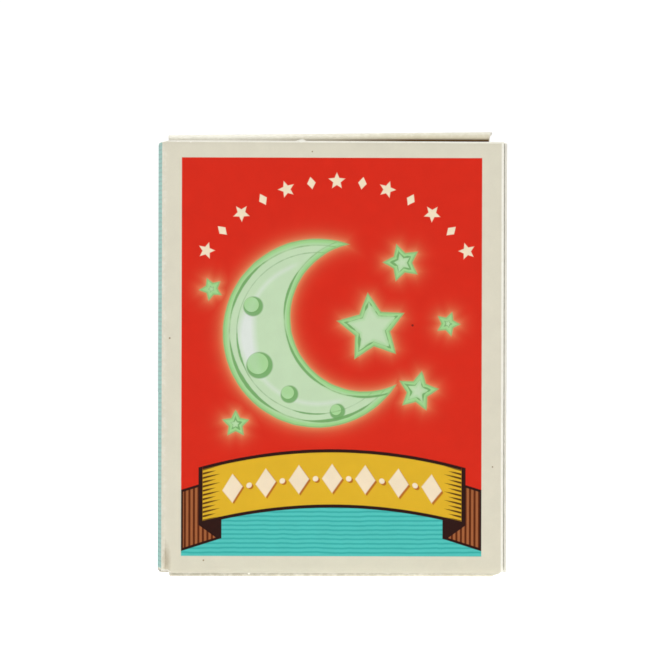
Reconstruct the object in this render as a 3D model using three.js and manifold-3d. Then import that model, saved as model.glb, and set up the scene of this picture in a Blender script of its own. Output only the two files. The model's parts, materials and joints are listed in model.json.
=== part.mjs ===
// Printed paperboard carton with reverse tuck ends, standing closed on its bottom.
// The front panel faces -Y and +Z is up. The origin is the middle of the underside.
// The top lid is creased to the back wall and the bottom lid to the front wall.
// All sizes are in millimetres and all angles in degrees.

import * as THREE from "three";
import { mergeVertices } from "three/addons/utils/BufferGeometryUtils.js";
import Module from "manifold-3d";

const wasm = await Module();
wasm.setup();

// Board and overall size
const carton_width = 64.5; // outside, left to right
const carton_depth = 30; // outside, front to back
const board = 0.5; // thickness of the paperboard
const front_top = 81.2; // height of the front wall's cut top edge
const back_bottom = 0.4; // height of the back wall's cut bottom edge

// Creases
const corner_radius = 0.5; // outside radius of the four upright creases
const corner_steps = 6; // facets of one upright crease
const crease_gap = 0.25; // flat board stops this far short of a crease's square corner
const lid_side_gap = 0.2; // wall cut wider than the lid, at each end of a lid crease

// Glued seam at the front right corner
const seam_setback = 0.5; // the front wall's cut edge stops this far from the corner
const glue_flap_width = 11;
const glue_flap_slant = 5; // the glue flap's free edge is shorter by this at each end

// Rise of the creases
const top_lid_rise = 0.35; // from the front wall's top to the top lid's crease axis
const top_dust_clearance = 0.2; // between the top lid at its crease and the dust flaps
const bottom_dust_clearance = 0.35; // between the bottom lid and the dust flaps
const shoulder_rise = 0.2; // the front wall's bottom corners stand above its crease

// Lids and tuck flaps
const top_lift = 1.85; // the closed top lid stands open by this angle
const top_lid_inset_left = 1.15;
const top_lid_inset_right = 2.8;
const bottom_lid_inset_left = 1.45;
const bottom_lid_inset_right = 2.25;
const tuck_clearance = 0.15; // from the lid's free crease to the wall it tucks behind
const tuck_length = 11;
const tuck_lean = 13; // the tucked flap leans inward from the upright by this angle
const tuck_side_taper = 1.6; // each side of a tuck flap narrows by this much
const tuck_corner_radius = 6;
const tuck_corner_steps = 8;

// Dust flaps
const dust_length = 17;
const dust_root_gap = 1.2; // from the lid's hinge wall to the dust flap's root
const dust_hinge_taper = 10.5; // the edge beside the lid's hinge slants in by this much
const dust_free_gap = 3.4; // from the wall that the tuck goes behind to the dust flap
const dust_free_taper = 1.5;

// Board colours
const colours = {
  printed: 0xd62f28,
  cream: 0xe0dbc7,
  plain: 0xd9cdb4,
};

const past = 1; // cutting solids reach this far past what they cut

const half_width = carton_width / 2;
const half_depth = carton_depth / 2;
const inner_half_width = half_width - board;
const inner_half_depth = half_depth - board;
const crease_reach = board / 2 + crease_gap; // from a crease's axis to the flat board
const top_lid_axis = front_top + top_lid_rise;
const top_dust_axis = top_lid_axis - board - top_dust_clearance;
const bottom_lid_axis = board / 2;
const bottom_dust_axis = bottom_lid_axis + board + bottom_dust_clearance;
const front_shoulder = bottom_lid_axis + crease_reach + shoulder_rise;
const lid_length = carton_depth - 2 * board - tuck_clearance;
const radians = THREE.MathUtils.degToRad;

function material(name, roughness) {
  return new THREE.MeshStandardMaterial({ color: colours[name], roughness, metalness: 0 });
}

const printed_board = material("printed", 0.45);
const cream_board = material("cream", 0.5);
const plain_board = material("plain", 0.8);

// Shapes and solids

function shapeOf(points) {
  return new THREE.Shape(points.map(([x, y]) => new THREE.Vector2(x, y)));
}

function extruded(shape, height) {
  return new THREE.ExtrudeGeometry(shape, { depth: height, bevelEnabled: false });
}

function toSolid(geometry) {
  const bare = geometry.clone();
  bare.deleteAttribute("normal");
  bare.deleteAttribute("uv");
  const merged = mergeVertices(bare, 1e-4);
  return new wasm.Manifold(new wasm.Mesh({
    numProp: 3,
    vertProperties: new Float32Array(merged.attributes.position.array),
    triVerts: new Uint32Array(merged.index.array),
  }));
}

function toGeometry(solid) {
  const mesh = solid.getMesh();
  const geometry = new THREE.BufferGeometry();
  geometry.setAttribute("position", new THREE.BufferAttribute(mesh.vertProperties, 3));
  geometry.setIndex(new THREE.BufferAttribute(mesh.triVerts, 1));
  geometry.computeVertexNormals();
  return geometry;
}

function boxBetween(low, high) {
  const size = high.map((value, axis) => value - low[axis]);
  const box = new THREE.BoxGeometry(...size);
  box.translate(...high.map((value, axis) => (value + low[axis]) / 2));
  return toSolid(box);
}

function arcPoints(centre_x, centre_y, radius, from, to, steps) {
  const points = [];
  for (let step = 0; step <= steps; step += 1) {
    const angle = radians(from + ((to - from) * step) / steps);
    points.push([centre_x + radius * Math.cos(angle), centre_y + radius * Math.sin(angle)]);
  }
  return points;
}

// Sleeve: four walls with the glue flap bonded inside the front wall

function sleeveSection() {
  const seam_x = half_width - seam_setback;
  const seam_back = -half_depth + board;
  const seam_radius = Math.min(corner_radius, seam_setback);
  const near = half_width - corner_radius;
  const far = half_depth - corner_radius;
  return shapeOf([
    ...arcPoints(-near, -far, corner_radius, 180, 270, corner_steps),
    [seam_x, -half_depth],
    [seam_x, seam_back],
    ...arcPoints(half_width - seam_radius, seam_back + seam_radius, seam_radius, -90, 0,
      corner_steps).slice(1),
    ...arcPoints(near, far, corner_radius, 0, 90, corner_steps),
    ...arcPoints(-near, far, corner_radius, 90, 180, corner_steps),
  ]);
}

// The inside steps in by one board where the glue flap lies behind the front wall.
function innerHollow() {
  const flap_edge = inner_half_width - glue_flap_width;
  const flap_face = -inner_half_depth + board;
  const hollow = extruded(shapeOf([
    [-inner_half_width, -inner_half_depth],
    [flap_edge, -inner_half_depth],
    [flap_edge, flap_face],
    [inner_half_width, flap_face],
    [inner_half_width, inner_half_depth],
    [-inner_half_width, inner_half_depth],
  ]), front_top - back_bottom + 2 * past);
  hollow.translate(0, 0, back_bottom - past);
  return toSolid(hollow);
}

// Each trim slants one end of the glue flap. It is drawn in X and Z.
function glueFlapTrim(root_z, inward) {
  const flap_edge = inner_half_width - glue_flap_width;
  const slant_z = root_z + inward * glue_flap_slant;
  const away_z = root_z - inward * 2 * past;
  const trim = extruded(shapeOf([
    [inner_half_width, root_z],
    [flap_edge, slant_z],
    [flap_edge - past, slant_z],
    [flap_edge - past, away_z],
    [inner_half_width, away_z],
  ]), board + past);
  trim.rotateX(Math.PI / 2);
  trim.translate(0, -inner_half_depth + board + past, 0);
  return toSolid(trim);
}

function sleeveCuts() {
  const side_y = inner_half_depth - board / 2;
  const dust_top = top_dust_axis - crease_reach;
  const dust_bottom = bottom_dust_axis + crease_reach;
  const cuts = [glueFlapTrim(front_top, -1), glueFlapTrim(front_shoulder, 1)];
  const side_x = inner_half_width - board / 2;
  for (const [low_x, high_x] of [[-half_width - past, -side_x], [side_x, half_width + past]]) {
    cuts.push(boxBetween([low_x, -side_y, dust_top], [high_x, side_y, front_top + past]));
    cuts.push(boxBetween([low_x, -side_y, back_bottom - past], [high_x, side_y, dust_bottom]));
  }
  cuts.push(boxBetween(
    [-half_width + top_lid_inset_left - lid_side_gap, side_y, top_lid_axis - crease_reach],
    [half_width - top_lid_inset_right + lid_side_gap, half_depth + past, front_top + past],
  ));
  cuts.push(boxBetween(
    [-half_width + bottom_lid_inset_left - lid_side_gap, -half_depth - past, back_bottom - past],
    [half_width - bottom_lid_inset_right + lid_side_gap, -side_y, bottom_lid_axis + crease_reach],
  ));
  for (const [from_x, to_x] of [
    [-half_width - past, -half_width + bottom_lid_inset_left],
    [half_width - bottom_lid_inset_right, half_width + past],
  ]) {
    cuts.push(boxBetween([from_x, -half_depth - past, back_bottom - past],
      [to_x, -side_y, front_shoulder]));
  }
  return cuts;
}

function sleeveGeometry() {
  const blank = extruded(sleeveSection(), front_top - back_bottom);
  blank.translate(0, 0, back_bottom);
  let sleeve = toSolid(blank).subtract(innerHollow());
  for (const cut of sleeveCuts()) sleeve = sleeve.subtract(cut);
  return toGeometry(sleeve);
}

// A flat panel is drawn in its own X and Y, with its crease's axis along X at Y = 0.
function flatPanel(points) {
  const panel = extruded(shapeOf(points), board);
  panel.translate(0, 0, -board / 2);
  return toGeometry(toSolid(panel));
}

function lidPanel(left, right) {
  const far = lid_length - crease_reach;
  return flatPanel([[left, crease_reach], [right, crease_reach], [right, far], [left, far]]);
}

function tuckPanel(left, right) {
  const radius = Math.min(tuck_corner_radius, tuck_length - crease_reach);
  const round_y = tuck_length - radius;
  const right_x = right - tuck_side_taper - radius;
  const left_x = left + tuck_side_taper + radius;
  return flatPanel([
    [left, crease_reach],
    [right, crease_reach],
    ...arcPoints(right_x, round_y, radius, 0, 90, tuck_corner_steps),
    ...arcPoints(left_x, round_y, radius, 90, 180, tuck_corner_steps),
  ]);
}

// A dust flap is drawn from its crease's end at the lid's hinge wall.
function dustPanel(side, hinge_side) {
  const root = dust_root_gap;
  const free = carton_depth - 2 * board - dust_free_gap;
  const outline = [
    [root, crease_reach],
    [free, crease_reach],
    [free - dust_free_taper, dust_length],
    [root + dust_hinge_taper, dust_length],
  ];
  return flatPanel(outline.map(([along, inward]) => [-side * inward, -hinge_side * along]));
}

function sheet(name, geometry, finish) {
  const mesh = new THREE.Mesh(geometry, finish);
  mesh.name = name;
  return mesh;
}

// Lid and tuck flap of one end. hinge_side is 1 where the lid is creased to the
// back wall and -1 where it is creased to the front wall.
function closure(end, hinge_side, axis_z, left, right, lift) {
  const lid = sheet(`${end}_lid`, lidPanel(left, right), cream_board);
  const tuck = sheet(`${end}_tuck_flap`, tuckPanel(left, right), cream_board);
  const tuck_group = new THREE.Group();
  tuck_group.position.y = lid_length;
  tuck_group.rotation.x = radians(90 + tuck_lean + lift);
  tuck_group.add(tuck);
  const lid_group = new THREE.Group();
  lid_group.position.set(0, hinge_side * (half_depth - board / 2), axis_z);
  lid_group.rotation.x = hinge_side > 0 ? radians(180 - lift) : radians(-lift);
  lid_group.add(lid, tuck_group);
  return lid_group;
}

function dustFlap(end, side, hinge_side, axis_z) {
  const name = `${end}_dust_flap_${side > 0 ? "right" : "left"}`;
  const flap = sheet(name, dustPanel(side, hinge_side), plain_board);
  flap.position.set(side * (half_width - board / 2), hinge_side * inner_half_depth, axis_z);
  return flap;
}

const carton = new THREE.Group();
carton.add(sheet("carton_sleeve", sleeveGeometry(), printed_board));
carton.add(closure("top", 1, top_lid_axis, -half_width + top_lid_inset_left,
  half_width - top_lid_inset_right, top_lift));
carton.add(closure("bottom", -1, bottom_lid_axis, -half_width + bottom_lid_inset_left,
  half_width - bottom_lid_inset_right, 0));
for (const side of [-1, 1]) {
  carton.add(dustFlap("top", side, 1, top_dust_axis));
  carton.add(dustFlap("bottom", side, -1, bottom_dust_axis));
}

export default carton;
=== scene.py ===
"""Printed paperboard carton with reverse tuck ends, closed around its hinged solids.

Lengths are millimetres on the closed carton, with x to the right, y to the back and z up,
unless a line says metres. Meshes are in metres.
"""

import json
import math

import bmesh
import bpy
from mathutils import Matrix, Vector
from mathutils import noise as lattice

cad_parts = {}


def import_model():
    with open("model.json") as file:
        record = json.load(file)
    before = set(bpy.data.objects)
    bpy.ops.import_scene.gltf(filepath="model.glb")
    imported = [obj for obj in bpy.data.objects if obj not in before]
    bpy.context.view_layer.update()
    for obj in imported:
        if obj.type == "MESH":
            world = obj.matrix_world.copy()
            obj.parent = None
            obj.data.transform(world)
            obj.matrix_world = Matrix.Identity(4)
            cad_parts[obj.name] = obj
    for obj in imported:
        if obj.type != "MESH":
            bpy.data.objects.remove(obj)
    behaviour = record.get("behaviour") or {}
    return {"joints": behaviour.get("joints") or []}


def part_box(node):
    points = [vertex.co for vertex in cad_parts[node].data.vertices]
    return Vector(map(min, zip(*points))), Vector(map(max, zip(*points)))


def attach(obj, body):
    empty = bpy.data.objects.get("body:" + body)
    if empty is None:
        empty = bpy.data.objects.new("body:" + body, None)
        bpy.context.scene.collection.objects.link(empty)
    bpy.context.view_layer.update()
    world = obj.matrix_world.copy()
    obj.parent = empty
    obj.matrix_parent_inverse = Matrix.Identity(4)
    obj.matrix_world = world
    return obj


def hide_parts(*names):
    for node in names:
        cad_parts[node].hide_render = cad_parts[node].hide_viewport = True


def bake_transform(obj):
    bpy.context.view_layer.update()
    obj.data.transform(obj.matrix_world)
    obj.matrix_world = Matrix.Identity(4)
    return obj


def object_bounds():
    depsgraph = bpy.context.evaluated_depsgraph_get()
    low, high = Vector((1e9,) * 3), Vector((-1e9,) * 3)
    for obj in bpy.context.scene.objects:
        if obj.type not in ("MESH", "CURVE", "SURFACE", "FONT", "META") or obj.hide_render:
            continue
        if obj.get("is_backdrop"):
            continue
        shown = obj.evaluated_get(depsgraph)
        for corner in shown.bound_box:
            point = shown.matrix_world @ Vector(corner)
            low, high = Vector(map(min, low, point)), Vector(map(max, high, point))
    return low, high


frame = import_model()
cad_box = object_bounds()

MM = 0.001
JOINTS = {joint["name"]: joint for joint in frame["joints"]}

# Sizes read from the frame, in millimetres
sleeve_low, sleeve_high = (Vector(corner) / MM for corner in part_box("carton_sleeve"))
dust_low, dust_high = (Vector(corner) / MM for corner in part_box("top_dust_flap_left"))
BOARD = dust_high.z - dust_low.z
HALF_WIDTH = sleeve_high.x
HALF_DEPTH = sleeve_high.y
FRONT_TOP = sleeve_high.z
BACK_BOTTOM = sleeve_low.z

# The folded board
MID = BOARD / 2
WALL_X = HALF_WIDTH - MID  # the walls' middle planes
WALL_Y = HALF_DEPTH - MID
BEND = 0.3  # radius of a crease, at the middle of the board
BEND_STEPS = 8
DUST_BEND = 0.25
TUCK_BEND = 1.2  # the tuck flaps turn over a rounder crease
CREASE_REACH = 0.9  # the wear of a crease fades out this far from it
SLIP = 0.25  # how far one sheet's end reaches into its neighbour, to hide the join
INSET = 0.02  # a folded flap is this much thinner than the wall it slips into
CUT_ROUNDING = 0.14
CUT_ANGLE = math.radians(60)  # sharper rims than this are rounded
SEAM_BEND = 0.5
SEAM_SETBACK = 0.65  # the front wall's cut edge stops this far from the corner
GLUE_FLAP = 10.7
GLUE_FLAP_SLANT = 5
FLAP_Y = WALL_Y - BOARD - 0.01  # the glue flap lies just behind the front wall
SHOULDER = 1.05  # height of the front wall's bottom corners
END_OVERLAP = 0.1  # a wall's plain end reaches this far past its crease
TOP_LID = (-31.1, 29.45)
BOTTOM_LID = (-30.8, 29.6)
BOTTOM_LID_CORNER = 1.5  # the bottom lid's right corner widens by this much at the fold
DUST_ROOT = (-11.1, 13.3)  # a top dust flap along its crease
DUST_TIP = (-9.6, 2.8)
DUST_LENGTH = 17
DUST_PRINT = {"top": -0.3, "bottom": -0.1}  # a side's print ends where its normal passes this
TUCK_LENGTH = 11
TUCK_LEAN = 13
TUCK_TAPER = 1.6
TUCK_ROUND = 6
TUCK_NOTCH = 0.3  # the top tuck flap is cut back this much at its right end
NOTCH_FALL = 0.9
LID_RELIEF = 0.8  # both lids are this much narrower at their left ends, towards the back
FRONT_BOW = 0.16  # outward swell of the front and back walls
SIDE_BOW = 0.04
RIPPLE = 0.05
RIPPLE_SCALE = 0.07
FRONT_RISE = 0.15  # the front wall's top edge stands this much higher at its left
DENT = (-HALF_WIDTH, -0.32, 0.8)  # in the front's top edge: place, height and half width
NICK = (-6.25, 0.55, 0.42)
LID_TWIST = 0.43  # the top lid's right end stands this much higher, its left end lower

# How finely each sheet is cut: its step along the path, and its rows across
WALL_MESH = (0.66, 64)
LID_MESH = (0.6, 60)
TUCK_MESH = (0.4, 60)
DUST_MESH = (0.5, 30)


def joint_place(name):
    return Vector(JOINTS[name]["pos_m"]) / MM


# Colours of the print and the board
CREAM = (226, 221, 201)
RED = (220, 38, 14)
CYAN = (82, 199, 192)
CYAN_LINE = (52, 174, 167)
GOLD = (227, 181, 38)
DARK = (42, 8, 0)
HATCH = (92, 56, 4)
TAIL = (166, 96, 52)
TAIL_GAP = (94, 36, 0)
PALE = (247, 229, 198)
ORNAMENT_SHADE = (186, 108, 30)
MINT = (198, 224, 186)
MINT_EDGE = (160, 214, 142)
MINT_STROKE = (112, 170, 98)
MINT_SHINE = (226, 234, 226)
GLOW = (240, 176, 118)
FIBRE = (250, 247, 236)
FIBRE_SHADE = (222, 214, 192)
INSIDE = (224, 217, 200)
INSIDE_SHADE = (203, 192, 170)
SEAM_SHADE = (120, 112, 92)
SMUDGE = (148, 126, 84)
GRAZING_SHEEN = (224, 222, 214)
BARE = (255, 253, 242)
SEAM_CREAM = (235, 232, 220)
SCORE_SHADE = (128, 121, 102)
SIDE_CYAN = (92, 182, 173)
SIDE_LINE = (66, 152, 144)
SLOT_SHADE = (88, 56, 18)
SLOT_WARM_SHADE = (226, 208, 150)

# How matte each surface is, and how deep its grain
SATIN = 0.5
SOFT_SATIN = 0.55
SIDE_MATTE = 0.75
BARE_MATTE = 0.85
CUT_MATTE = 0.9
GLOSS_LEVEL = 0.15
PRINT_GRAIN = 0.012
BARE_GRAIN = 0.03
CUT_GRAIN = 0.04
PRINT_EDGE = 0.07  # softness of a printed edge
SHARP_EDGE = 0.06


def linear(colour):
    """Turns an sRGB colour of 0 to 255 into the linear values that shaders take."""
    parts = [c / 255 for c in colour]
    return [p / 12.92 if p <= 0.04045 else ((p + 0.055) / 1.055) ** 2.4 for p in parts] + [1]


class Field:
    """A number that varies over the surface, worked out by nodes."""

    def __init__(self, ink, socket):
        self.ink = ink
        self.socket = socket

    def __add__(self, other):
        return self.ink.math("ADD", self, other)

    def __sub__(self, other):
        return self.ink.math("SUBTRACT", self, other)

    def __rsub__(self, other):
        return self.ink.math("SUBTRACT", other, self)

    def __mul__(self, other):
        return self.ink.math("MULTIPLY", self, other)

    def __truediv__(self, other):
        return self.ink.math("DIVIDE", self, other)


class Ink:
    """One material: its colour is painted in layers, from formulas in millimetres."""

    def __init__(self, name, roughness):
        self.material = bpy.data.materials.new(name)
        self.material.use_nodes = True
        self.tree = self.material.node_tree
        self.shader = self.tree.nodes["Principled BSDF"]
        self.shader.inputs["Roughness"].default_value = roughness
        self.shader.inputs["Specular IOR Level"].default_value = GLOSS_LEVEL
        coordinates = self.tree.nodes.new("ShaderNodeAttribute")
        coordinates.attribute_name = "place_when_closed"
        self.place = coordinates.outputs["Vector"]
        split = self.tree.nodes.new("ShaderNodeSeparateXYZ")
        self.link(self.place, split.inputs[0])
        self.x, self.y, self.z = (Field(self, split.outputs[axis]) for axis in range(3))

    def link(self, source, target):
        self.tree.links.new(source, target)

    def feed(self, value, target):
        if isinstance(value, Field):
            self.link(value.socket, target)
        else:
            target.default_value = value

    def math(self, operation, *values, clamp=False):
        node = self.tree.nodes.new("ShaderNodeMath")
        node.operation = operation
        node.use_clamp = clamp
        for value, target in zip(values, node.inputs):
            self.feed(value, target)
        return Field(self, node.outputs[0])

    def ramp(self, value, low, high):
        """0 where the value is at low, rising or falling to 1 where it is at high."""
        slope = 1 / (high - low)
        return self.math("MULTIPLY_ADD", value, slope, -low * slope, clamp=True)

    def least(self, *values):
        found = values[0]
        for value in values[1:]:
            found = self.math("MINIMUM", found, value)
        return found

    def most(self, *values):
        found = values[0]
        for value in values[1:]:
            found = self.math("MAXIMUM", found, value)
        return found

    def noise(self, scale, detail, stretch=(1, 1, 1)):
        """Noise of 0 to 1, with scale in features for each millimetre."""
        node = self.tree.nodes.new("ShaderNodeTexNoise")
        node.inputs["Scale"].default_value = scale
        node.inputs["Detail"].default_value = detail
        source = self.place
        if stretch != (1, 1, 1):
            pulled = self.tree.nodes.new("ShaderNodeVectorMath")
            pulled.operation = "MULTIPLY"
            pulled.inputs[1].default_value = stretch
            self.link(self.place, pulled.inputs[0])
            source = pulled.outputs[0]
        self.link(source, node.inputs["Vector"])
        return Field(self, node.outputs["Fac"])

    def colour(self, value):
        node = self.tree.nodes.new("ShaderNodeRGB")
        node.outputs[0].default_value = linear(value)
        return node.outputs[0]

    def paint(self, under, over, cover):
        """Lays the colour over on the colour under, where cover is 1."""
        node = self.tree.nodes.new("ShaderNodeMix")
        node.data_type = "RGBA"
        self.feed(cover, node.inputs["Factor"])
        self.link(under, node.inputs["A"])
        if isinstance(over, tuple):
            node.inputs["B"].default_value = linear(over)
        else:
            self.link(over, node.inputs["B"])
        return node.outputs["Result"]

    def inside(self, distance, soft=PRINT_EDGE):
        """1 where a signed distance is below zero, with an edge as soft as print."""
        return self.ramp(distance, soft, -soft)

    def finish(self, colour, bump, depth):
        self.link(colour, self.shader.inputs["Base Color"])
        node = self.tree.nodes.new("ShaderNodeBump")
        node.inputs["Distance"].default_value = depth * MM
        self.feed(bump, node.inputs["Height"])
        self.link(node.outputs[0], self.shader.inputs["Normal"])
        return self.material


# Shapes as signed distances, below zero inside

def circle(ink, x, z, centre, radius):
    """Circle, or an oval where x and z come divided by its half width and height."""
    across = ink.math("POWER", x - centre[0], 2)
    up = ink.math("POWER", z - centre[1], 2)
    return ink.math("SQRT", across + up) - radius


def box(ink, x, z, low, high):
    return ink.most(low[0] - x, x - high[0], low[1] - z, z - high[1])


def star(ink, across, up, radius, waist, turn=0.0):
    """Five-pointed star, whose inner corners lie at the waist, a share of its radius."""
    point = math.radians(36)
    angle = ink.math("ARCTAN2", across, up) + turn
    folded = ink.math("PINGPONG", angle, point)
    reach = ink.math("SQRT", across * across + up * up)
    out = reach * ink.math("COSINE", folded)
    side = reach * ink.math("SINE", folded)
    inner = Vector((math.cos(point), math.sin(point))) * waist * radius
    edge = inner - Vector((radius, 0))
    normal = Vector((edge.y, -edge.x)).normalized()
    return (out - radius) * normal.x + side * normal.y


# Layout of the front print

FRONT_RIM = HALF_DEPTH - BOARD - 0.4  # the seam's painted shade lies in front of this
SEAM_MARGIN = 1.3  # width of the cream margin beside the seam, on the right side
CREVICE = 0.22  # the seam's painted shade reaches this far past the front wall's cut edge
FIELD_LOW = (-28.55, 3.76)
FIELD_HIGH = (27.54, 78.16)
MIDDLE = -0.36
BAND_HALF = 24.16  # half the length of the ribbon's gold band
BAND_TOP = 23.12
BAND_BOTTOM = 13.42
BAND_TOP_SAG = 3.25
BAND_BOTTOM_SAG = 3.1
OUTLINE = 0.62
TAIL_RIM = OUTLINE * 0.8
FIELD_RIM = OUTLINE * 0.6  # the outline of a tail where the field's edge cuts it
TAIL_GAP_HALF = 0.2  # half the dark gap between two stripes of a tail
FOLD_INNER = 20.66  # from the middle to the inner edge of the ribbon's folds
FOLD_OUTER = 24.94
TAIL_TOP = 17.1  # height of a tail's upper edge beside the fold
TAIL_TOP_SLOPE = -0.31
TAIL_BOTTOM = 7.05
TAIL_BOTTOM_SLOPE = -0.319
TAIL_PITCH = 0.845
FOLD_CORNER = 9.55  # height of the fold's outer lower corner
FOLD_SLOPE = 0.72
STRIPE_PITCH = 0.845
PARTING = (17.9, 3.1)  # where red meets cyan: its height at the middle, and its fall
HATCH_LINES = 12
HATCH_LENGTH = 3.1
HATCH_PITCH = 0.8
HATCH_HALF = 0.19  # half the thickness of a hatch line at the band's end
HATCH_STAGGER = 0.75  # every other hatch line is this much shorter
LOZENGE_PITCH = 6.2
LOZENGE_HALF = (1.9, 2.8)  # half a lozenge's width and height
LOZENGE_ROW = 3.35  # the row ends this many pitches from the middle
DOT_RADIUS = 0.52
ORNAMENT_SHIFT = 0.3  # from an ornament to its shadow
ORNAMENT_BAND = 10  # the band's height, as the ornaments are drawn on it


def paper_grain(ink):
    """Height of the paper's surface: fine fibres over a slower unevenness."""
    return ink.noise(7.0, 3.0) * 0.7 + ink.noise(1.4, 2.0) * 0.3


def grazed(ink, colour):
    """Seen along its surface, matte ink is painted paler: a painted sheen that follows the view
    angle.
    """
    node = ink.tree.nodes.new("ShaderNodeLayerWeight")
    facing = Field(ink, node.outputs["Facing"])
    return ink.paint(colour, GRAZING_SHEEN, ink.ramp(facing, 0.86, 1.06) * 0.6)


def crease_wear(ink, colour, strength=0.45):
    """Along the creases the ink is rubbed and cracked through to the fibres."""
    node = ink.tree.nodes.new("ShaderNodeAttribute")
    node.attribute_name = "creased"
    creased = Field(ink, node.outputs["Fac"])
    rubbed = ink.ramp(ink.noise(1.3, 4.0), 5 / 12, 3 / 4)
    return ink.paint(colour, FIBRE, creased * creased * rubbed * strength)


def mottled(ink, colour, strength=0.05):
    """Faint cloudy variation of the ink, and finer specks of the board beneath it."""
    cloud = (ink.noise(0.32, 3.0) - 0.5) * strength * 2
    grain = (ink.noise(4.5, 2.0) - 0.5) * strength
    level = cloud + grain + 1
    node = ink.tree.nodes.new("ShaderNodeVectorMath")
    node.operation = "SCALE"
    ink.link(colour, node.inputs[0])
    ink.link(level.socket, node.inputs["Scale"])
    return node.outputs[0]


SCORE_HEIGHT = 0.58  # below this the front's bottom crease is painted darker, as painted shade
SCORE_SPAN = (60, -70 / 3)  # the painted shade would be gone at the first place, and full at the second
RIM_HIGHLIGHT_TOP = FRONT_TOP - 0.2  # the front's top and right rims are painted pale from here out, as painted highlight
RIM_HIGHLIGHT_RIGHT = HALF_WIDTH - SEAM_SETBACK - 0.4
# Each scuff has its middle's x and z, and half its width and height
SCUFFS = [
    (-29.3, 81.2, 0.34, 0.22),
    (-26.9, 81.1, 0.25, 0.16),
    (-6.25, 81.45, 0.5, 0.5),
    (-15.85, 0.48, 0.28, 0.2),
]
# Each speck has its middle's x and z, and its radius
SPECKS = [(-30.75, 44.4, 0.16), (-24.35, 2.95, 0.14), (-4.2, 79.3, 0.12), (29.6, 20.5, 0.13)]
FLECK = (14.6, 46.9, 0.2)  # a dark fleck in the red, with its x, z and radius
# Each stain at the lower left corner has x, z, half width, half height, the share of them
# that is fully dark, the raggedness and softness of its edge, and its cover
STAINS = [
    (-31.2, 2.7, 0.75, 3.2, 0.1, 0.6, 1.1, 0.95),
    (-31.42, 3.6, 0.24, 4.6, 0.2, 0.5, 0.7, 0.75),
]


def worn_cream_with_painted_light(ink):
    """Cream ink with the scuffs, specks and smudge of handling, painted shade at the bottom crease
    and painted highlight at the top and right rims, on the front only.
    """
    colour = ink.colour(CREAM)
    front = ink.inside(ink.y + HALF_DEPTH - 2 * BOARD, 0.2)
    ragged = (ink.noise(2.2, 3.0) - 0.5) * 0.9
    for x, z, radius in SPECKS:
        spot = circle(ink, ink.x, ink.z, (x, z), radius)
        colour = ink.paint(colour, SMUDGE, ink.inside(spot, 0.08) * front)
    leftward = ink.ramp(ink.x, *SCORE_SPAN)
    score_shaded = ink.inside(ink.z - SCORE_HEIGHT, 0.12) * front * leftward
    # Painted shade: the cream is darkened along the front's bottom crease, more towards the left.
    colour = ink.paint(colour, SCORE_SHADE, score_shaded * 0.5)
    top_rim = RIM_HIGHLIGHT_TOP - ink.z - ink.x * (FRONT_RISE / 2 / HALF_WIDTH)
    rim = ink.least(top_rim, RIM_HIGHLIGHT_RIGHT - ink.x)
    rubbed = ink.ramp(ink.noise(1.1, 3.0), -5 / 32, 15 / 32)
    # Painted highlight: a pale, broken band along the front's top and right rims.
    colour = ink.paint(colour, BARE, ink.inside(rim, 0.12) * front * rubbed)
    for x, z, wide, high in SCUFFS:
        worn = circle(ink, (ink.x - x) / wide, (ink.z - z) / high, (0, 0), 0.8) + ragged
        colour = ink.paint(colour, BARE, ink.inside(worn, 0.25) * front)
    for x, z, wide, high, size, rough, soft, cover in STAINS:
        stain = circle(ink, (ink.x - x) / wide, (ink.z - z) / high, (0, 0), size) + ragged * rough
        colour = ink.paint(colour, SMUDGE, ink.inside(stain, soft) * front * cover)
    return colour


def striped_cyan(ink, base=CYAN, stripe=CYAN_LINE):
    """Thin darker lines that waver a little, like engraving."""
    waver = (ink.noise(0.16, 2.0, (1, 1, 0.6)) - 0.5) * 0.5
    ripple = (ink.noise(0.9, 1.0, (1, 1, 0.4)) - 0.5) * 0.13
    phase = (ink.z + waver + ripple) * (2 * math.pi / STRIPE_PITCH)
    line = ink.ramp(ink.math("SINE", phase), 1 / 15, 11 / 15)
    return ink.paint(ink.colour(base), stripe, line * 0.85)


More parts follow.
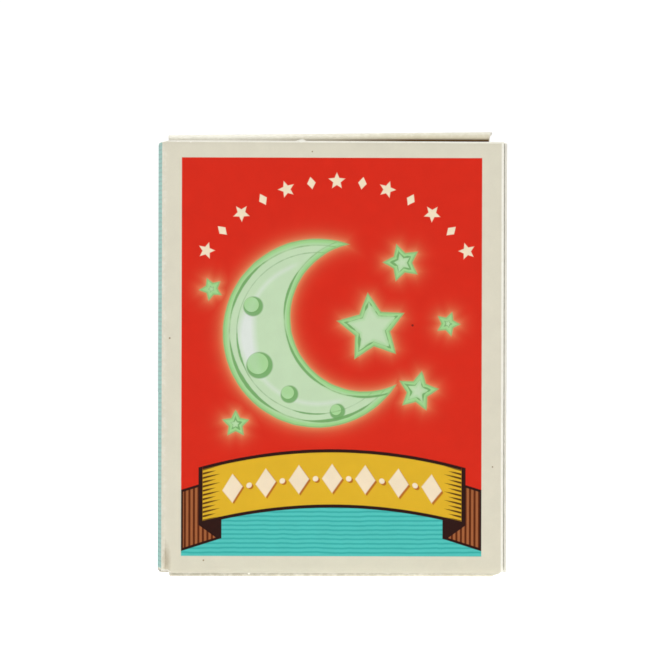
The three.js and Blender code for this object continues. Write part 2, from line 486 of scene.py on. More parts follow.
def ribbon(ink, colour, x, z):
    """Traditional blank banner: gold band, dark outlines, folds and striped tails."""
    across = ink.math("ABSOLUTE", x - MIDDLE)
    bow = across * across / BAND_HALF ** 2  # 0 at the middle of the band, 1 at its ends
    top = BAND_TOP - bow * BAND_TOP_SAG
    bottom = BAND_BOTTOM - bow * BAND_BOTTOM_SAG
    tail_top = z - (across - FOLD_OUTER) * TAIL_TOP_SLOPE - TAIL_TOP
    tail_bottom = (across - FOLD_INNER) * TAIL_BOTTOM_SLOPE + TAIL_BOTTOM - z
    tail = ink.most(tail_top, tail_bottom, FOLD_INNER - across)
    colour = ink.paint(colour, DARK, ink.inside(tail))
    stripe = ink.math("PINGPONG", across - FOLD_OUTER, TAIL_PITCH / 2)
    gaps = ink.colour(TAIL_GAP)
    striped = ink.paint(gaps, TAIL, ink.inside(TAIL_GAP_HALF - stripe, SHARP_EDGE))
    edge = ink.most(x - FIELD_HIGH[0], FIELD_LOW[0] - x) + FIELD_RIM
    colour = ink.paint(colour, striped, ink.inside(ink.most(tail + TAIL_RIM, edge)))

    fold = ink.most(FOLD_INNER - across, across - FOLD_OUTER, z - bottom,
                    FOLD_CORNER - (FOLD_OUTER - across) * FOLD_SLOPE - z, TAIL_BOTTOM - z)
    bar = ink.most(BAND_HALF - across, across - FOLD_OUTER, z - top - OUTLINE,
                   FOLD_CORNER - z)
    colour = ink.paint(colour, DARK, ink.inside(ink.least(fold, bar)))

    band = ink.most(z - top, bottom - z, across - BAND_HALF)
    colour = ink.paint(colour, DARK, ink.inside(
        ink.most(z - top - OUTLINE, bottom - OUTLINE - z, across - BAND_HALF)))
    colour = ink.paint(colour, GOLD, ink.inside(band))
    share = (z - bottom) / (top - bottom)
    row = ink.math("PINGPONG", share * HATCH_LINES, 0.5)
    odd = ink.math("PINGPONG", ink.math("FLOOR", share * HATCH_LINES + 0.5), 1)
    reach = (BAND_HALF - across) / (HATCH_LENGTH - odd * HATCH_STAGGER)
    stroke = row * HATCH_PITCH - (1 - reach * reach) * HATCH_HALF
    hatch = ink.most(stroke, band, reach - 1)
    colour = ink.paint(colour, HATCH, ink.inside(hatch))
    return ornaments(ink, colour, x - MIDDLE, share, band)


def ornaments(ink, colour, along, share, band):
    """Row of cream lozenges and dots on the band, each with a small shadow.

    share runs from 0 at the band's lower edge to 1 at its upper edge.
    """
    pitch = LOZENGE_PITCH
    half_width, half_height = LOZENGE_HALF
    for shift, tone in ((ORNAMENT_SHIFT, ORNAMENT_SHADE), (0.0, PALE)):
        moved = along - shift
        up = (share - 0.5) * ORNAMENT_BAND + shift
        cell = ink.math("ROUND", moved / pitch)
        near = ink.math("ABSOLUTE", moved - cell * pitch)
        odd_cell = ink.math("ROUND", moved / pitch - 0.5)
        beside = moved - (odd_cell + 0.5) * pitch
        lozenge = near / half_width + ink.math("ABSOLUTE", up) / half_height - 1
        dot = circle(ink, beside, up, (0, 0), DOT_RADIUS)
        shape = ink.least(lozenge * 1.2, dot)
        within = ink.math("ABSOLUTE", along) - pitch * LOZENGE_ROW
        colour = ink.paint(colour, tone, ink.inside(ink.most(shape, within, band)))
    return colour


# The picture: a crescent moon, which is a circle less a bite, and stars
MOON = (-3.2, 45.4)
MOON_RADIUS = 17.6
BITE = (5.6, 48.4)
BITE_RADIUS = 13.9
STAR_WAIST = 0.52
HALO_REACH = 0.86  # a star's glow spreads from its part within this share of its radius
GLOW_FADE = 1.25
GLOW_COVER = 0.6
LINE_WAVER = 0.14
CRATER_SHIFT = 0.3  # a crater's shade is this far up and left of its middle
CRATER_SHADE = 0.92
# No glow lies past a line through the upper tip, square to this direction
HORN = (1.9, 62.0)
HORN_LINE = (0.944, 0.33)
# Each star has its middle's x and z, its radius and its turn
STARS = [
    (7.0, 46.4, 6.6, 0.12),
    (15.6, 34.6, 3.9, -0.2),
    (12.6, 58.6, 3.6, 0.3),
    (-18.4, 28.4, 2.6, 0.0),
    (-23.0, 53.6, 2.2, 0.4),
    (21.2, 47.2, 2.3, -0.35),
]
# Each crater has its middle's x and z, and its radius
CRATERS = [(-15.4, 50.6, 1.5), (-14.2, 39.6, 2.1), (-8.6, 34.2, 1.3), (0.4, 31.0, 1.1)]


def pen_arc(ink, out, turn, radius, start, sweep, thick):
    """Tapered stroke on a circle, from an angle in degrees over a sweep."""
    share = (turn - start) / sweep
    taper = ink.most((share - share * share) * 4, 0)
    return ink.math("ABSOLUTE", out - radius) - taper * thick


def moon_strokes(ink, x, z):
    """Pen strokes along the moon's round edge, and the broad gleam beside them."""
    across = x - MOON[0]
    up = z - MOON[1]
    out = ink.math("SQRT", across * across + up * up)
    turn = ink.math("ARCTAN2", 0 - across, 0 - up) * (180 / math.pi)
    # Each arc has its radius, its start and sweep in degrees, and its thickness
    arcs = [
        (MOON_RADIUS - 1.15, -40, 52, 0.3),
        (MOON_RADIUS - 1.25, 22, 66, 0.34),
        (MOON_RADIUS - 1.1, 98, 48, 0.26),
        (MOON_RADIUS - 2.6, 60, 34, 0.2),
        (MOON_RADIUS - 2.5, -8, 26, 0.18),
    ]
    strokes = ink.least(*(pen_arc(ink, out, turn, *arc) for arc in arcs))
    gleam = pen_arc(ink, out, turn, MOON_RADIUS - 4.4, 48, 74, 1.5)
    return strokes, gleam


def bite_strokes(ink, x, z):
    """Pen strokes along the moon's hollow edge."""
    across = x - BITE[0]
    up = z - BITE[1]
    out = ink.math("SQRT", across * across + up * up)
    turn = ink.math("ARCTAN2", 0 - across, 0 - up) * (180 / math.pi)
    arcs = [
        (BITE_RADIUS + 1.0, 24, 58, 0.26),
        (BITE_RADIUS + 1.1, 88, 40, 0.22),
        (BITE_RADIUS + 1.0, -22, 36, 0.22),
    ]
    return ink.least(*(pen_arc(ink, out, turn, *arc) for arc in arcs))


def picture(ink, colour, x, z):
    """Moon and stars in pale green, with drawn strokes inside and a soft glow around."""
    moon = ink.most(circle(ink, x, z, MOON, MOON_RADIUS),
                    0 - circle(ink, x, z, BITE, BITE_RADIUS))
    stars = None
    halo = ink.most(moon, (x - HORN[0]) * HORN_LINE[0] + (z - HORN[1]) * HORN_LINE[1])
    for star_x, star_z, radius, turn in STARS:
        found = star(ink, x - star_x, z - star_z, radius, STAR_WAIST, turn)
        stars = found if stars is None else ink.least(stars, found)
        near = circle(ink, x, z, (star_x, star_z), radius * HALO_REACH)
        halo = ink.least(halo, ink.most(found, near))
    waver = (ink.noise(0.7, 1.0) - 0.5) * LINE_WAVER
    shape = ink.least(moon, stars) + waver
    glow = ink.math("EXPONENT", ink.most(halo, 0) * -GLOW_FADE)
    colour = ink.paint(colour, GLOW, glow * GLOW_COVER)
    colour = ink.paint(colour, MINT_EDGE, ink.inside(shape, 0.12))
    inner = ink.ramp(shape, -8 / 19, -28 / 19)
    colour = ink.paint(colour, MINT, inner)

    strokes, gleam = moon_strokes(ink, x, z)
    colour = ink.paint(colour, MINT_SHINE, ink.inside(gleam, 0.7) * ink.inside(moon + 2.2, 0.6))
    for crater_x, crater_z, radius in CRATERS:
        away = circle(ink, x, z, (crater_x, crater_z), radius)
        shade_middle = (crater_x - CRATER_SHIFT, crater_z + CRATER_SHIFT)
        shade = circle(ink, x, z, shade_middle, radius * CRATER_SHADE)
        colour = ink.paint(colour, MINT_EDGE, ink.inside(away, 0.12) * 0.75)
        ring = ink.math("ABSOLUTE", away) - ink.most(shade + 0.25, 0) * 0.45
        colour = ink.paint(colour, MINT_STROKE, ink.inside(ring, 0.08) * ink.inside(moon) * 0.9)
    drawn = ink.most(ink.least(strokes, bite_strokes(ink, x, z)), moon + 0.3)
    broken = ink.noise(0.5, 1.0) - 0.42
    starred = ink.math("ABSOLUTE", stars + 0.75) - ink.most(broken, 0)
    drawn = ink.least(drawn, starred) + waver
    colour = ink.paint(colour, MINT_STROKE, ink.inside(drawn, 0.08) * 0.92)
    rim = ink.math("ABSOLUTE", shape + 0.1) - 0.12
    return ink.paint(colour, MINT_STROKE, ink.inside(rim, 0.1) * 0.45)


ARCH_CENTRE = (0.4, 44.6)
ARCH_RADIUS = 29.2
ARCH_STEP = 9.4  # degrees from one ornament to the next
ARCH_REACH = 6  # ornaments on each side of the top one
ARCH_STAR = 1.6
ARCH_WAIST = 0.46
OUT_OF_REACH = 9  # added to a shape's distance, this hides it


def arch(ink, colour, x, z):
    """Arc of small cream stars and lozenges over the picture."""
    across = x - ARCH_CENTRE[0]
    up = z - ARCH_CENTRE[1]
    out = ink.math("SQRT", across * across + up * up)
    turn = ink.math("ARCTAN2", across, up) * (180 / math.pi)
    cell = ink.math("ROUND", turn / ARCH_STEP)
    local = (turn - cell * ARCH_STEP) * math.radians(1) * ARCH_RADIUS
    high = out - ARCH_RADIUS
    odd = ink.math("PINGPONG", cell, 1)
    starry = star(ink, local, high, ARCH_STAR, ARCH_WAIST) + odd * OUT_OF_REACH
    lozenge = ink.math("ABSOLUTE", local) * 0.9 + ink.math("ABSOLUTE", high) * 0.62 - 0.72
    shape = ink.least(starry, lozenge + (1 - odd) * OUT_OF_REACH)
    within = ink.math("ABSOLUTE", cell) - ARCH_REACH - 0.5
    return ink.paint(colour, PALE, ink.inside(ink.most(shape, within)))


def front_print():
    ink = Ink("front_print", SATIN)
    x, z = ink.x, ink.z
    field = box(ink, x, z, FIELD_LOW, FIELD_HIGH)
    colour = ink.colour(RED)
    colour = arch(ink, picture(ink, colour, x, z), x, z)
    across = ink.math("ABSOLUTE", x - MIDDLE)
    parting = z - PARTING[0] + across * across * (PARTING[1] / BAND_HALF ** 2)
    colour = ink.paint(colour, striped_cyan(ink), ink.inside(parting))
    colour = ribbon(ink, colour, x, z)
    fleck = circle(ink, x, z, FLECK[:2], FLECK[2])
    colour = ink.paint(colour, DARK, ink.inside(fleck, 0.08) * 0.8)
    colour = ink.paint(worn_cream_with_painted_light(ink), colour, ink.inside(field, SHARP_EDGE))
    return ink.finish(mottled(ink, crease_wear(ink, colour)), paper_grain(ink), PRINT_GRAIN)


def side_print():
    ink = Ink("side_print", SIDE_MATTE)
    seam_margin = ink.most(0 - ink.x, ink.y + HALF_DEPTH - SEAM_MARGIN)
    # Painted sheen: the stripes turn paler where the side is seen at a grazing angle.
    stripes = grazed(ink, striped_cyan(ink, SIDE_CYAN, SIDE_LINE))
    colour = ink.paint(stripes, SEAM_CREAM, ink.inside(seam_margin))
    crevice = ink.most(ink.x - (HALF_WIDTH - SEAM_SETBACK + CREVICE), ink.y + FRONT_RIM, 0 - ink.x)
    # Painted shade in the crevice where the front wall's cut edge meets the right side wall.
    colour = ink.paint(colour, SEAM_SHADE, ink.inside(crevice, SHARP_EDGE) * 0.8)
    return ink.finish(mottled(ink, crease_wear(ink, colour, 0.2)), paper_grain(ink), PRINT_GRAIN)


def back_print():
    ink = Ink("back_print", SATIN)
    field = box(ink, ink.x, ink.z, FIELD_LOW, FIELD_HIGH)
    colour = ink.paint(worn_cream_with_painted_light(ink), striped_cyan(ink), ink.inside(field))
    return ink.finish(mottled(ink, crease_wear(ink, colour)), paper_grain(ink), PRINT_GRAIN)


def cream_print():
    ink = Ink("cream_print", SOFT_SATIN)
    colour = mottled(ink, crease_wear(ink, worn_cream_with_painted_light(ink)))
    return ink.finish(colour, paper_grain(ink), PRINT_GRAIN)


SLOT_LINE = 81.56  # height of the painted shade line where the top tuck flap goes behind the front
SLOT_FADE = 0.18  # the painted shade fades upwards over about this much
SLOT_SPAN = (-21, 14)  # the painted shade grows from left to right between these places
SLOT_END = FRONT_TOP - 0.1  # below this, behind the wall, no shade or tint is painted on the flap


def tuck_print():
    """Cream ink with painted shade where the flap slips behind the wall, a warmer painted shade
    above it and a painted highlight at its left.
    """
    ink = Ink("tuck_print", SOFT_SATIN)
    fade = ink.least(ink.math("EXPONENT", (SLOT_LINE - ink.z) / SLOT_FADE), 1)
    share = ink.ramp(ink.x, *SLOT_SPAN)
    along = ink.math("POWER", share, 1.5)
    # Painted highlight: above the shade line the flap is painted paler towards its left.
    bend = ink.inside(SLOT_LINE - ink.z, 0.5)
    colour = ink.paint(crease_wear(ink, worn_cream_with_painted_light(ink)), BARE, bend * (1 - along) * 0.5)
    seen = ink.inside(SLOT_END - ink.z, 0.1)
    # Painted shade: a warm, darker tint on the flap just above the shade line, stronger to the
    # right.
    warm_shaded = ink.inside(ink.z - SLOT_LINE - 0.6, 0.5) * seen
    colour = ink.paint(colour, SLOT_WARM_SHADE, warm_shaded * along * 0.45)
    # Painted shade: a dark brown line where the flap slips behind the front wall, stronger to the
    # right.
    colour = ink.paint(colour, SLOT_SHADE, fade * along * seen * 0.95)
    return ink.finish(mottled(ink, colour), paper_grain(ink), PRINT_GRAIN)


def inside_board():
    ink = Ink("inside_board", BARE_MATTE)
    fibres = ink.noise(3.0, 4.0, (1, 1, 0.35))
    colour = ink.paint(ink.colour(INSIDE), INSIDE_SHADE, (fibres - 0.45) * 1.6)
    return ink.finish(mottled(ink, colour, 0.08), fibres + paper_grain(ink), BARE_GRAIN)


def cut_edge():
    ink = Ink("cut_edge", CUT_MATTE)
    layers = ink.noise(9.0, 3.0)
    colour = ink.paint(ink.colour(FIBRE), FIBRE_SHADE, (layers - 0.4) * 1.4)
    return ink.finish(colour, layers, CUT_GRAIN)


# Folded sheets: a path is walked in a plane, and each of its stations spans a breadth

def folded(corners, spacing):
    """Stations (a, b, normal a, normal b) along a path with the outside on its left.

    Each corner is (a, b, radius of the bend there). Flat parts are cut by the spacing.
    """
    stations = []
    last = len(corners) - 1
    points = [Vector(corner[:2]) for corner in corners]
    for index in range(last + 1):
        if 0 < index < last:
            before = (points[index] - points[index - 1]).normalized()
            after = (points[index + 1] - points[index]).normalized()
            turn = before.angle_signed(after)
            radius = corners[index][2]
            reach = radius * math.tan(turn / 2)
            centre = points[index] - before * reach + Vector((before.y, -before.x)) * radius
            for step in range(BEND_STEPS + 1):
                angle = turn * step / BEND_STEPS
                way = Vector((before.x * math.cos(angle) + before.y * math.sin(angle),
                              before.y * math.cos(angle) - before.x * math.sin(angle)))
                normal = Vector((-way.y, way.x))
                stations.append((*(centre + normal * radius), *normal))
        else:
            beside = 1 if index == 0 else last
            way = (points[beside] - points[beside - 1]).normalized()
            stations.append((*points[index], -way.y, way.x))
    dense = [stations[0]]
    for old, new in zip(stations, stations[1:]):
        length = math.hypot(new[0] - old[0], new[1] - old[1])
        steps = max(1, round(length / spacing)) if is_flat(old, new) else 1
        for step in range(1, steps + 1):
            share = step / steps
            dense.append(tuple(o + (n - o) * share for o, n in zip(old, new)))
    return dense


def is_flat(old, new):
    """True where two stations face the same way."""
    return abs(old[2] - new[2]) + abs(old[3] - new[3]) < 1e-6


def creasing(stations):
    """1 at the stations on a crease, falling to 0 where the board lies flat."""
    bent = [point for old, new in zip(stations, stations[1:]) if not is_flat(old, new)
            for point in (old, new)]
    levels = []
    for a, b, *_ in stations:
        away = min(math.hypot(a - x, b - y) for x, y, *_ in bent)
        levels.append(max(0, 1 - away / CREASE_REACH))
    return levels


def sheet(name, stations, breadth, rows, place, finish, thickness=BOARD - INSET):
    """Closed sheet of board along the stations.

    breadth(index) gives the ends of a station's breadth, place(a, b, along) gives a point of
    the sheet in space, and finish(index) names the material of its outside.
    """
    half = thickness / 2
    verts = []
    for side in (1, -1):
        for index, (a, b, normal_a, normal_b) in enumerate(stations):
            low, high = breadth(index)
            for row in range(rows + 1):
                along = low + (high - low) * row / rows
                point = place(a + side * half * normal_a, b + side * half * normal_b, along)
                verts.append(point * MM)
    last = len(stations) - 1
    layer = (last + 1) * (rows + 1)

    def number(side, index, row):
        return side * layer + index * (rows + 1) + row

    faces = []
    kinds = []
    for index in range(last):
        for row in range(rows):
            for side in (0, 1):
                corners = [number(side, index, row), number(side, index + 1, row),
                           number(side, index + 1, row + 1), number(side, index, row + 1)]
                faces.append(corners[::-1] if side else corners)
                kinds.append("inside" if side else finish(index))
        for row in (0, rows):
            corners = [number(0, index, row), number(1, index, row),
                       number(1, index + 1, row), number(0, index + 1, row)]
            faces.append(corners[::-1] if row else corners)
            kinds.append("edge")
    for index in (0, last):
        for row in range(rows):
            corners = [number(0, index, row), number(0, index, row + 1),
                       number(1, index, row + 1), number(1, index, row)]
            faces.append(corners[::-1] if index else corners)
            kinds.append("edge")
    mesh = bpy.data.meshes.new(name)
    mesh.from_pydata(verts, [], faces)
    creased = mesh.attributes.new("creased", "FLOAT", "POINT")
    levels = [level for level in creasing(stations) for _ in range(rows + 1)]
    creased.data.foreach_set("value", levels * 2)
    used = sorted(set(kinds))
    for kind in used:
        mesh.materials.append(MATERIALS[kind])
    for polygon, kind in zip(mesh.polygons, kinds):
        polygon.material_index = used.index(kind)
    round_cuts(mesh, used.index("edge"))
    keep_places(mesh)
    piece = bpy.data.objects.new(name, mesh)
    bpy.context.collection.objects.link(piece)
    return piece


def round_cuts(mesh, edge_index):
    """Turns the faces out and softens the rims where the board is cut."""
    made = bmesh.new()
    made.from_mesh(mesh)
    bmesh.ops.recalc_face_normals(made, faces=made.faces)
    rims = [edge for edge in made.edges if edge.calc_face_angle(0) > CUT_ANGLE]
    bmesh.ops.bevel(made, geom=rims, offset=CUT_ROUNDING * MM, segments=2, affect="EDGES",
                    material=edge_index, profile=0.5)
    for face in made.faces:
        face.smooth = True
    made.to_mesh(mesh)
    made.free()


def keep_places(mesh):
    """Stores each point's place on the closed carton, so that the print bends with the board."""
    places = [c / MM for vertex in mesh.vertices for c in vertex.co]
    kept = mesh.attributes.new("place_when_closed", "FLOAT_VECTOR", "POINT")
    kept.data.foreach_set("vector", places)


MATERIALS = {
    "front": front_print(),
    "side": side_print(),
    "back": back_print(),
    "cream": cream_print(),
    "tuck": tuck_print(),
    "inside": inside_board(),
    "edge": cut_edge(),
}


# The sleeve: front, left, back and right walls, and the glue flap behind the front

def swell(x, y, z):
    """The walls stand a little out of flat, as a filled carton's do."""
    upright = math.sin(math.pi * min(max(z / FRONT_TOP, 0), 1))
    level_x = math.cos(math.pi / 2 * min(abs(x) / HALF_WIDTH, 1))
    level_y = math.cos(math.pi / 2 * min(abs(y) / HALF_DEPTH, 1))
    ripple = lattice.noise(Vector((x, y, z)) * RIPPLE_SCALE) * RIPPLE
    out_y = math.copysign(FRONT_BOW * upright * level_x, y) + ripple * level_x * upright
    out_x = math.copysign(SIDE_BOW * upright * level_y, x) if abs(x) > WALL_X - MID else 0
    return Vector((x + out_x, y + out_y, z))


def side_ends(y):
    """Bottom and top of a side wall at a depth, where a dust flap may leave it."""
    top_root = DUST_ROOT[0] < y < DUST_ROOT[1]
    bottom_root = -DUST_ROOT[1] < y < -DUST_ROOT[0]
    low = joint_place("bottom_dust_left_crease").z + (DUST_BEND if bottom_root else -END_OVERLAP)
    high = joint_place("top_dust_left_crease").z - (DUST_BEND if top_root else -END_OVERLAP)
    return low, high


def bulge(x, place, height, half_width):
    """Height at x of a smooth bump on an edge."""
    return height * math.exp(-((x - place) / half_width) ** 2)


def sleeve():
    """All four walls and the glue flap, as one sheet that starts at the seam."""
    corners = [
        (HALF_WIDTH - SEAM_SETBACK, -WALL_Y, 0),
        (-WALL_X, -WALL_Y, BEND),
        (-WALL_X, WALL_Y, BEND),
        (WALL_X, WALL_Y, BEND),
        (WALL_X, -FLAP_Y, SEAM_BEND),
        (HALF_WIDTH - BOARD - GLUE_FLAP, -FLAP_Y, 0),
    ]
    spacing, rows = WALL_MESH
    stations = folded(corners, spacing)

    def panel(index):
        x, y, normal_x, normal_y = stations[index]
        if y < -WALL_Y + 0.01 or (x < 0 and normal_y < -0.35):
            return "front"
        if normal_y > 0.9 and y > 0:
            return "back"
        if abs(normal_x) < 0.9 and x > 0 and y < -FLAP_Y + 0.01:
            return "flap"
        return "side"

    def breadth(index):
        x, y = stations[index][:2]
        name = panel(index)
        if name == "front":
            over_lid = BOTTOM_LID[0] < x < BOTTOM_LID[1] + BOTTOM_LID_CORNER
            rise = FRONT_RISE * (1 - x / HALF_WIDTH) / 2
            uneven = bulge(x, *DENT) + bulge(x, *NICK)
            return (BEND + MID if over_lid else SHOULDER), FRONT_TOP + rise + uneven
        if name == "back":
            under_lid = TOP_LID[0] < x < TOP_LID[1]
            crease = joint_place("top_lid_crease").z
            return BACK_BOTTOM, (crease - BEND if under_lid else FRONT_TOP)
        if name == "flap":
            slant = GLUE_FLAP_SLANT * (HALF_WIDTH - BOARD - x) / GLUE_FLAP
            return SHOULDER + slant, FRONT_TOP - slant
        return side_ends(y)

    def finish(index):
        name = panel(index)
        return "cream" if name == "flap" else name

    piece = sheet("sleeve_walls", stations, breadth, rows, swell, finish, BOARD)
    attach(piece, "sleeve")
    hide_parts("carton_sleeve")


# The lids and flaps, each bent out of the panel that it is creased to

def flap_breadth(width, length, taper, rounding):
    """Ends of a flap's breadth at a distance past its crease."""
    def ends(past):
        past = min(max(past, 0), length)
        inset = taper * past / length
        into_round = past - (length - rounding)
        if into_round > 0:
            inset += rounding - math.sqrt(max(rounding ** 2 - into_round ** 2, 0))
        return width[0] + inset, width[1] - inset
    return ends


def twist(x, a):
    """Height that the top lid gains at its right and loses at its left."""
    share = min(max((a + WALL_Y) / (2 * WALL_Y), 0), 1)
    return LID_TWIST * x / HALF_WIDTH * share


def top_place(a, b, x):
    """Place in space of a point (a, b) of the top closure's path, at x across."""
    return Vector((x, -a, b + twist(x, a)))


def bottom_place(a, b, x):
    return Vector((x, -a, b))


def closure(side, place, width, finish, relief, corner=0.0, notch=0.0):
    """A lid from its wall to its tuck crease, then the tuck flap.

    relief narrows the lid's left end, at its hinge and at its tuck crease. corner widens its
    right end past the hinge, and notch cuts the tuck flap back at the right.
    """
    lid_crease = joint_place(side + "_lid_crease")
    tuck_crease = joint_place(side + "_tuck_crease")
    up = 1 if side == "top" else -1
    hinge = Vector((-lid_crease.y, lid_crease.z))
    front = Vector((-tuck_crease.y, tuck_crease.z))
    wall = hinge - Vector((0, up * (BEND + SLIP)))
    lean = math.radians(TUCK_LEAN)
    into = Vector((-math.sin(lean) * up, -math.cos(lean) * up))
    along = (front - hinge).normalized()
    tangent = TUCK_BEND * math.tan(along.angle(into) / 2)

    spacing, rows = LID_MESH
    stations = folded([(*wall, 0), (*hinge, BEND), (*(front - along * tangent), 0)], spacing)

    def lid_ends(index):
        here = Vector(stations[index][:2])
        past = max((here.y - hinge.y) * -up, 0) / BEND
        share = min(max((here - hinge).dot(along) / (front - hinge).length, 0), 1)
        inset = relief[0] + (relief[1] - relief[0]) * share
        return width[0] + inset, width[1] + corner * min(past, 1)

    lid = sheet(side + "_lid_board", stations, lid_ends, rows, place, lambda index: "cream")
    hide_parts(side + "_lid")
    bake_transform(lid)

    inner = front - along * (tangent + SLIP)
    tip = front + into * TUCK_LENGTH
    spacing, rows = TUCK_MESH
    tuck_stations = folded([(*inner, 0), (*front, TUCK_BEND), (*tip, 0)], spacing)
    ends = flap_breadth((width[0] + relief[1], width[1]), TUCK_LENGTH, TUCK_TAPER, TUCK_ROUND)

    def tuck_ends(index):
        past = (Vector(tuck_stations[index][:2]) - front).dot(into)
        low, high = ends(past)
        return low, high - notch * min(max(past / NOTCH_FALL, 0), 1)

    tuck = sheet(side + "_tuck_board", tuck_stations, tuck_ends, rows, place,
                 lambda index: finish, BOARD - 2 * INSET)
    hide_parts(side + "_tuck_flap")
    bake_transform(tuck)


def dust_flap(side, hand):
    """A dust flap, folded in over a side wall's crease."""
    body = side + "_dust_" + hand
    crease = joint_place(body + "_crease")
    up = 1 if side == "top" else -1
    mirror = 1 if hand == "left" else -1
    hinge = Vector((crease.x * mirror, crease.z))
    wall = hinge - Vector((0, up * (DUST_BEND + SLIP)))
    tip = hinge + Vector((DUST_LENGTH, 0))
    spacing, rows = DUST_MESH
    stations = folded([(*wall, 0), (*hinge, DUST_BEND), (*tip, 0)], spacing)

    def ends(index):
        share = min(max(stations[index][0] - hinge.x, 0) / DUST_LENGTH, 1)
        free, hinged = (root + (end - root) * share for root, end in zip(DUST_ROOT, DUST_TIP))
        return (free, hinged) if up == 1 else (-hinged, -free)

    def place(a, b, y):
        return Vector((a * mirror, y, b))

    def finish(index):
        return "side" if stations[index][2] < DUST_PRINT[side] else "cream"

    flap = sheet(body + "_board", stations, ends, rows, place, finish)
    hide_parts(side + "_dust_flap_" + hand)
    start, end = (Vector((a * mirror, 0, b)) * MM for a, b in (
        (hinge.x, hinge.y - up * DUST_BEND), (hinge.x + DUST_BEND, hinge.y)))
    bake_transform(flap)
    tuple(start)
    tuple(end)


sleeve()
closure("top", top_place, TOP_LID, "tuck", (LID_RELIEF, 0), notch=TUCK_NOTCH)
closure("bottom", bottom_place, BOTTOM_LID, "cream", (0, LID_RELIEF), corner=BOTTOM_LID_CORNER)
for side in ("top", "bottom"):
    for hand in ("left", "right"):
        dust_flap(side, hand)


# Floor, light and camera

FLOOR_REACH = 14.0  # metres
FLOOR_GREY = (0.93, 0.93, 0.93, 1)
FLOOR_GLOW = (0.82, 0.46, 1.05)  # under the carton, around it, and towards the horizon
NEAR_RING = (0.015, 0.075)  # the metres from the middle over which the glow changes
FAR_RING = (0.3, 1.5)
WHITE = (1, 1, 1, 1)
HORIZON = 1.05
ZENITH = 0.15
SKY_ANGLES = (2, 9)  # degrees over which the horizon's white gives way to the dim sky
# Each lamp has its name, its place in metres, its size and its power
LAMPS = [
    ("overhead", (0.0, 0.15, 1.2), 1.2, 17),
    ("front_left", (-0.9, -1.2, 0.3), 0.5, 0.95),
    ("front_right", (0.9, -1.2, 0.3), 0.5, 0.75),
]
LAMP_TARGET = (0, 0, 0.04)
FRAME_PIXELS = 654
PIXEL = 0.1867  # millimetres on the front wall for one pixel of the frame
CAMERA_DISTANCE = 5000.0
CAMERA_TARGET = (-1.38, -HALF_DEPTH, 46.55)
CAMERA_YAW = math.radians(1.65)
CAMERA_ROLL = math.radians(0.15)
SENSOR = 36


def eased(nodes, low, high, first, second):
    """Node that eases from the first number to the second between two inputs."""
    node = nodes.new("ShaderNodeMapRange")
    node.interpolation_type = "SMOOTHSTEP"
    names = ("From Min", "From Max", "To Min", "To Max")
    for name, value in zip(names, (low, high, first, second)):
        node.inputs[name].default_value = value
    return node


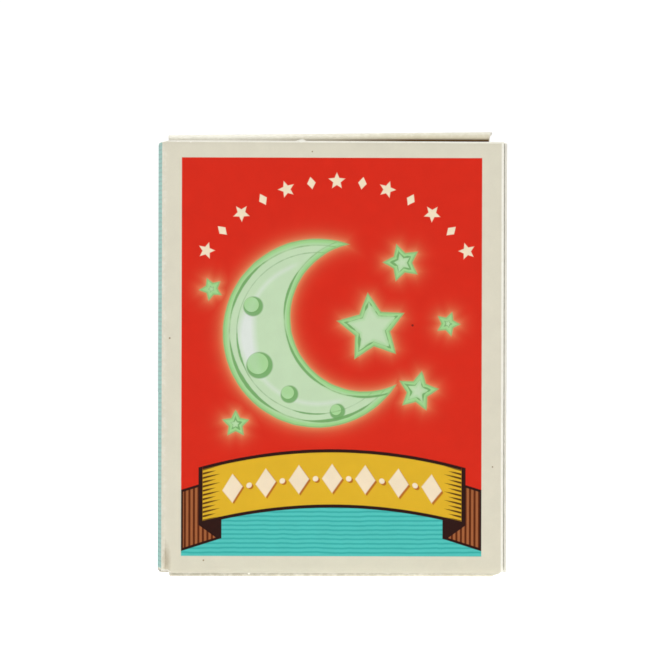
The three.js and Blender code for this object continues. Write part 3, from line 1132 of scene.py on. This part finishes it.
def floor():
    """Flat pale floor, wide enough to reach the horizon, and lit through like a light table."""
    corners = ((-1, -1), (1, -1), (1, 1), (-1, 1))
    verts = [(x * FLOOR_REACH, y * FLOOR_REACH, 0) for x, y in corners]
    mesh = bpy.data.meshes.new("floor")
    mesh.from_pydata(verts, [], [(0, 1, 2, 3)])
    material = bpy.data.materials.new("floor")
    material.use_nodes = True
    shader = material.node_tree.nodes["Principled BSDF"]
    shader.inputs["Base Color"].default_value = FLOOR_GREY
    shader.inputs["Roughness"].default_value = 0.9
    shader.inputs["Specular IOR Level"].default_value = 0.2
    shader.inputs["Emission Color"].default_value = WHITE
    nodes = material.node_tree.nodes
    links = material.node_tree.links
    coordinates = nodes.new("ShaderNodeTexCoord")
    away = nodes.new("ShaderNodeVectorMath")
    away.operation = "LENGTH"
    links.new(coordinates.outputs["Object"], away.inputs[0])
    near = eased(nodes, *NEAR_RING, FLOOR_GLOW[0], FLOOR_GLOW[1])
    far = eased(nodes, *FAR_RING, 0.0, FLOOR_GLOW[2] - FLOOR_GLOW[1])
    total = nodes.new("ShaderNodeMath")
    for spot, target in zip((near, far), total.inputs):
        links.new(away.outputs["Value"], spot.inputs["Value"])
        links.new(spot.outputs["Result"], target)
    links.new(total.outputs[0], shader.inputs["Emission Strength"])
    mesh.materials.append(material)
    plane = bpy.data.objects.new("floor", mesh)
    bpy.context.collection.objects.link(plane)
    plane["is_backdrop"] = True


def aim(obj, target):
    obj.rotation_euler = (Vector(target) - obj.location).to_track_quat("-Z", "Y").to_euler()


def soft_box(name, place, size, power):
    light = bpy.data.lights.new(name, "AREA")
    light.shape = "SQUARE"
    light.size = size
    light.energy = power
    lamp = bpy.data.objects.new(name, light)
    lamp.location = place
    bpy.context.collection.objects.link(lamp)
    aim(lamp, LAMP_TARGET)


def camera():
    """Nearly frontal and level from far off, a little to the left of the carton's middle."""
    target = Vector(CAMERA_TARGET)
    data = bpy.data.cameras.new("camera")
    data.sensor_width = SENSOR
    data.lens = SENSOR * CAMERA_DISTANCE / (FRAME_PIXELS * PIXEL)
    data.clip_start = 0.1
    view = bpy.data.objects.new("camera", data)
    away = Vector((-math.sin(CAMERA_YAW), -math.cos(CAMERA_YAW), 0)) * CAMERA_DISTANCE
    view.location = (target + away) * MM
    bpy.context.collection.objects.link(view)
    aim(view, target * MM)
    view.rotation_euler.rotate_axis("Z", CAMERA_ROLL)
    bpy.context.scene.camera = view


def world():
    """Studio that is white along the horizon and dim overhead."""
    sky = bpy.data.worlds.new("studio")
    sky.use_nodes = True
    nodes = sky.node_tree.nodes
    links = sky.node_tree.links
    coordinates = nodes.new("ShaderNodeTexCoord")
    split = nodes.new("ShaderNodeSeparateXYZ")
    links.new(coordinates.outputs["Generated"], split.inputs[0])
    low, high = (math.sin(math.radians(angle)) for angle in SKY_ANGLES)
    rise = eased(nodes, low, high, HORIZON, ZENITH)
    links.new(split.outputs[2], rise.inputs["Value"])
    background = nodes["Background"]
    background.inputs["Color"].default_value = WHITE
    links.new(rise.outputs["Result"], background.inputs["Strength"])
    bpy.context.scene.world = sky


floor()
world()
for lamp in LAMPS:
    soft_box(*lamp)
camera()
bpy.context.scene.view_settings.view_transform = "Standard"

boxes = {"cad": cad_box, "visual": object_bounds()}
{k: [list(corner) for corner in v] for k, v in boxes.items()}
